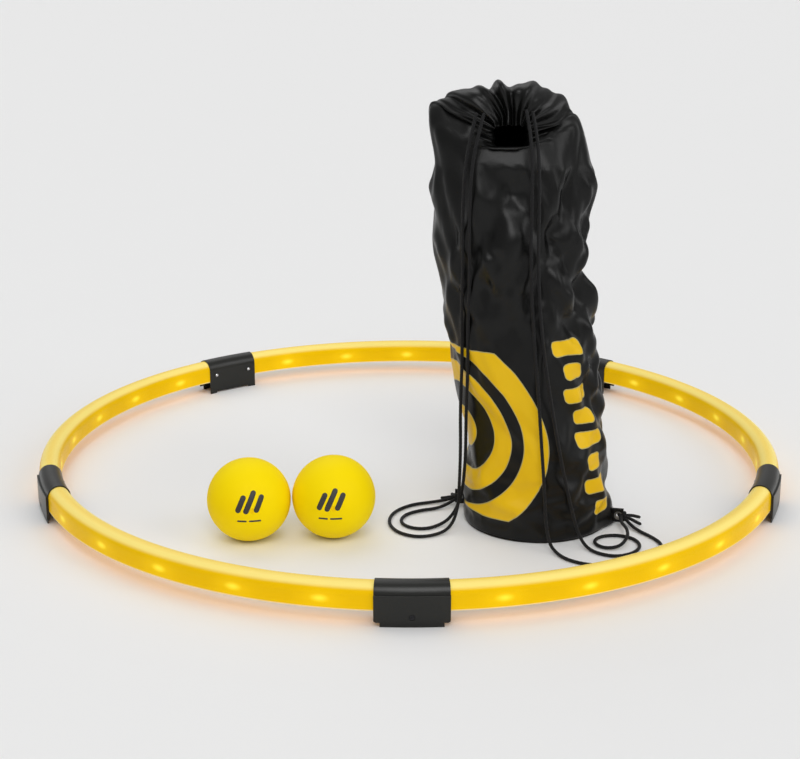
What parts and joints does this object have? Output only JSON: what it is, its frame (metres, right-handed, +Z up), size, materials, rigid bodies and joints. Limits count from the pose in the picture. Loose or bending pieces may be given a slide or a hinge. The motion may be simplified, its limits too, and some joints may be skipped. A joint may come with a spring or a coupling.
{
  "type": "light-up rim kit for a lawn ball game",
  "caption": "Ring of glowing curved tubes joined by saddle connectors with battery doors and snap buttons, with two soft balls and a standing drawstring bag.",
  "frame": {"origin": "on the floor under the centre of the ring", "axes": "+Z up; the front connector faces -Y; the balls lie towards -X and the bag towards +X"},
  "size_m": [0.919, 0.9223, 0.516],
  "materials": {
    "tube_yellow": "translucent yellow tube, lit from inside",
    "connector_black": "satin black moulded plastic",
    "screw_black": "black oxide",
    "bright_steel": "bright",
    "button_rubber": "matte",
    "strip_white": "matte",
    "plug_white": "matte",
    "cell_sleeve": "printed sleeve, plain",
    "contact_nickel": "nickel plate",
    "board_green": "solder mask",
    "ball_yellow": "soft matte skin",
    "valve_yellow": "soft matte",
    "bag_nylon": "coated woven nylon with a satin face",
    "cord_black": "braided"
  },
  "bodies": {
    "ring": {"light_tube_1": "tube_yellow", "led_strip_1": "strip_white", "connector_1": "connector_black", "light_tube_2": "tube_yellow", "led_strip_2": "strip_white", "connector_2": "connector_black", "light_tube_3": "tube_yellow", "led_strip_3": "strip_white", "connector_3": "connector_black", "light_tube_4": "tube_yellow", "led_strip_4": "strip_white", "connector_4": "connector_black", "light_tube_5": "tube_yellow", "led_strip_5": "strip_white", "connector_5": "connector_black", "tube_end_plugs": "plug_white", "snap_springs": "bright_steel", "battery_cells": "cell_sleeve", "battery_contacts": "contact_nickel", "control_boards": "board_green"},
    "door_1": {"battery_door_1": "connector_black", "door_screw_1": "screw_black"},
    "power_1": {"power_button_1": "button_rubber"},
    "snap_1a": {"snap_button_1a": "bright_steel"},
    "snap_1b": {"snap_button_1b": "bright_steel"},
    "door_2": {"battery_door_2": "connector_black", "door_screw_2": "screw_black"},
    "power_2": {"power_button_2": "button_rubber"},
    "snap_2a": {"snap_button_2a": "bright_steel"},
    "snap_2b": {"snap_button_2b": "bright_steel"},
    "door_3": {"battery_door_3": "connector_black", "door_screw_3": "screw_black"},
    "power_3": {"power_button_3": "button_rubber"},
    "snap_3a": {"snap_button_3a": "bright_steel"},
    "snap_3b": {"snap_button_3b": "bright_steel"},
    "door_4": {"battery_door_4": "connector_black", "door_screw_4": "screw_black"},
    "power_4": {"power_button_4": "button_rubber"},
    "snap_4a": {"snap_button_4a": "bright_steel"},
    "snap_4b": {"snap_button_4b": "bright_steel"},
    "door_5": {"battery_door_5": "connector_black", "door_screw_5": "screw_black"},
    "power_5": {"power_button_5": "button_rubber"},
    "snap_5a": {"snap_button_5a": "bright_steel"},
    "snap_5b": {"snap_button_5b": "bright_steel"},
    "ball_left": {"ball_left": "ball_yellow", "ball_left_valve": "valve_yellow"},
    "ball_right": {"ball_right": "ball_yellow", "ball_right_valve": "valve_yellow"},
    "bag": {"bag_body": "bag_nylon", "bag_base": "bag_nylon", "bag_casing": "bag_nylon", "corner_tab_left": "bag_nylon", "corner_tab_right": "bag_nylon", "tab_grommets": "contact_nickel", "cord_knots": "cord_black", "drawcord_left_outer": "cord_black", "drawcord_left_inner": "cord_black", "drawcord_right_outer": "cord_black", "drawcord_right_inner": "cord_black"}
  },
  "joints": [
    {"name": "door_1_slide", "type": "slide", "parent": "ring", "child": "door_1", "axis": [0, -1, 0], "range_m": [0, 0.02]},
    {"name": "power_1_press", "type": "slide", "parent": "ring", "child": "power_1", "axis": [0, 0, 1], "range_m": [0, 0.001], "stiffness_N_per_m": 500},
    {"name": "snap_1a_press", "type": "slide", "parent": "ring", "child": "snap_1a", "axis": [-0.0615, -0.9981, 0], "range_m": [0, 0.004], "stiffness_N_per_m": 400},
    {"name": "snap_1b_press", "type": "slide", "parent": "ring", "child": "snap_1b", "axis": [0.0615, -0.9981, 0], "range_m": [0, 0.004], "stiffness_N_per_m": 400},
    {"name": "door_2_slide", "type": "slide", "parent": "ring", "child": "door_2", "axis": [0.9511, -0.309, 0], "range_m": [0, 0.02]},
    {"name": "power_2_press", "type": "slide", "parent": "ring", "child": "power_2", "axis": [0, 0, 1], "range_m": [0, 0.001], "stiffness_N_per_m": 500},
    {"name": "snap_2a_press", "type": "slide", "parent": "ring", "child": "snap_2a", "axis": [0.9303, -0.3669, 0], "range_m": [0, 0.004], "stiffness_N_per_m": 400},
    {"name": "snap_2b_press", "type": "slide", "parent": "ring", "child": "snap_2b", "axis": [0.9683, -0.25, 0], "range_m": [0, 0.004], "stiffness_N_per_m": 400},
    {"name": "door_3_slide", "type": "slide", "parent": "ring", "child": "door_3", "axis": [0.5878, 0.809, 0], "range_m": [0, 0.02]},
    {"name": "power_3_press", "type": "slide", "parent": "ring", "child": "power_3", "axis": [0, 0, 1], "range_m": [0, 0.001], "stiffness_N_per_m": 500},
    {"name": "snap_3a_press", "type": "slide", "parent": "ring", "child": "snap_3a", "axis": [0.6364, 0.7713, 0], "range_m": [0, 0.004], "stiffness_N_per_m": 400},
    {"name": "snap_3b_press", "type": "slide", "parent": "ring", "child": "snap_3b", "axis": [0.5369, 0.8436, 0], "range_m": [0, 0.004], "stiffness_N_per_m": 400},
    {"name": "door_4_slide", "type": "slide", "parent": "ring", "child": "door_4", "axis": [-0.5878, 0.809, 0], "range_m": [0, 0.02]},
    {"name": "power_4_press", "type": "slide", "parent": "ring", "child": "power_4", "axis": [0, 0, 1], "range_m": [0, 0.001], "stiffness_N_per_m": 500},
    {"name": "snap_4a_press", "type": "slide", "parent": "ring", "child": "snap_4a", "axis": [-0.5369, 0.8436, 0], "range_m": [0, 0.004], "stiffness_N_per_m": 400},
    {"name": "snap_4b_press", "type": "slide", "parent": "ring", "child": "snap_4b", "axis": [-0.6364, 0.7713, 0], "range_m": [0, 0.004], "stiffness_N_per_m": 400},
    {"name": "door_5_slide", "type": "slide", "parent": "ring", "child": "door_5", "axis": [-0.9511, -0.309, 0], "range_m": [0, 0.02]},
    {"name": "power_5_press", "type": "slide", "parent": "ring", "child": "power_5", "axis": [0, 0, 1], "range_m": [0, 0.001], "stiffness_N_per_m": 500},
    {"name": "snap_5a_press", "type": "slide", "parent": "ring", "child": "snap_5a", "axis": [-0.9683, -0.25, 0], "range_m": [0, 0.004], "stiffness_N_per_m": 400},
    {"name": "snap_5b_press", "type": "slide", "parent": "ring", "child": "snap_5b", "axis": [-0.9303, -0.3669, 0], "range_m": [0, 0.004], "stiffness_N_per_m": 400},
    {"name": "ball_left_lift", "type": "slide", "parent": "ring", "child": "ball_left", "axis": [0, 0, 1], "range_m": [0, 0.3]},
    {"name": "ball_right_lift", "type": "slide", "parent": "ring", "child": "ball_right", "axis": [0, 0, 1], "range_m": [0, 0.3]},
    {"name": "bag_lift", "type": "slide", "parent": "ring", "child": "bag", "axis": [0, 0, 1], "range_m": [0, 0.3]}
  ]
}
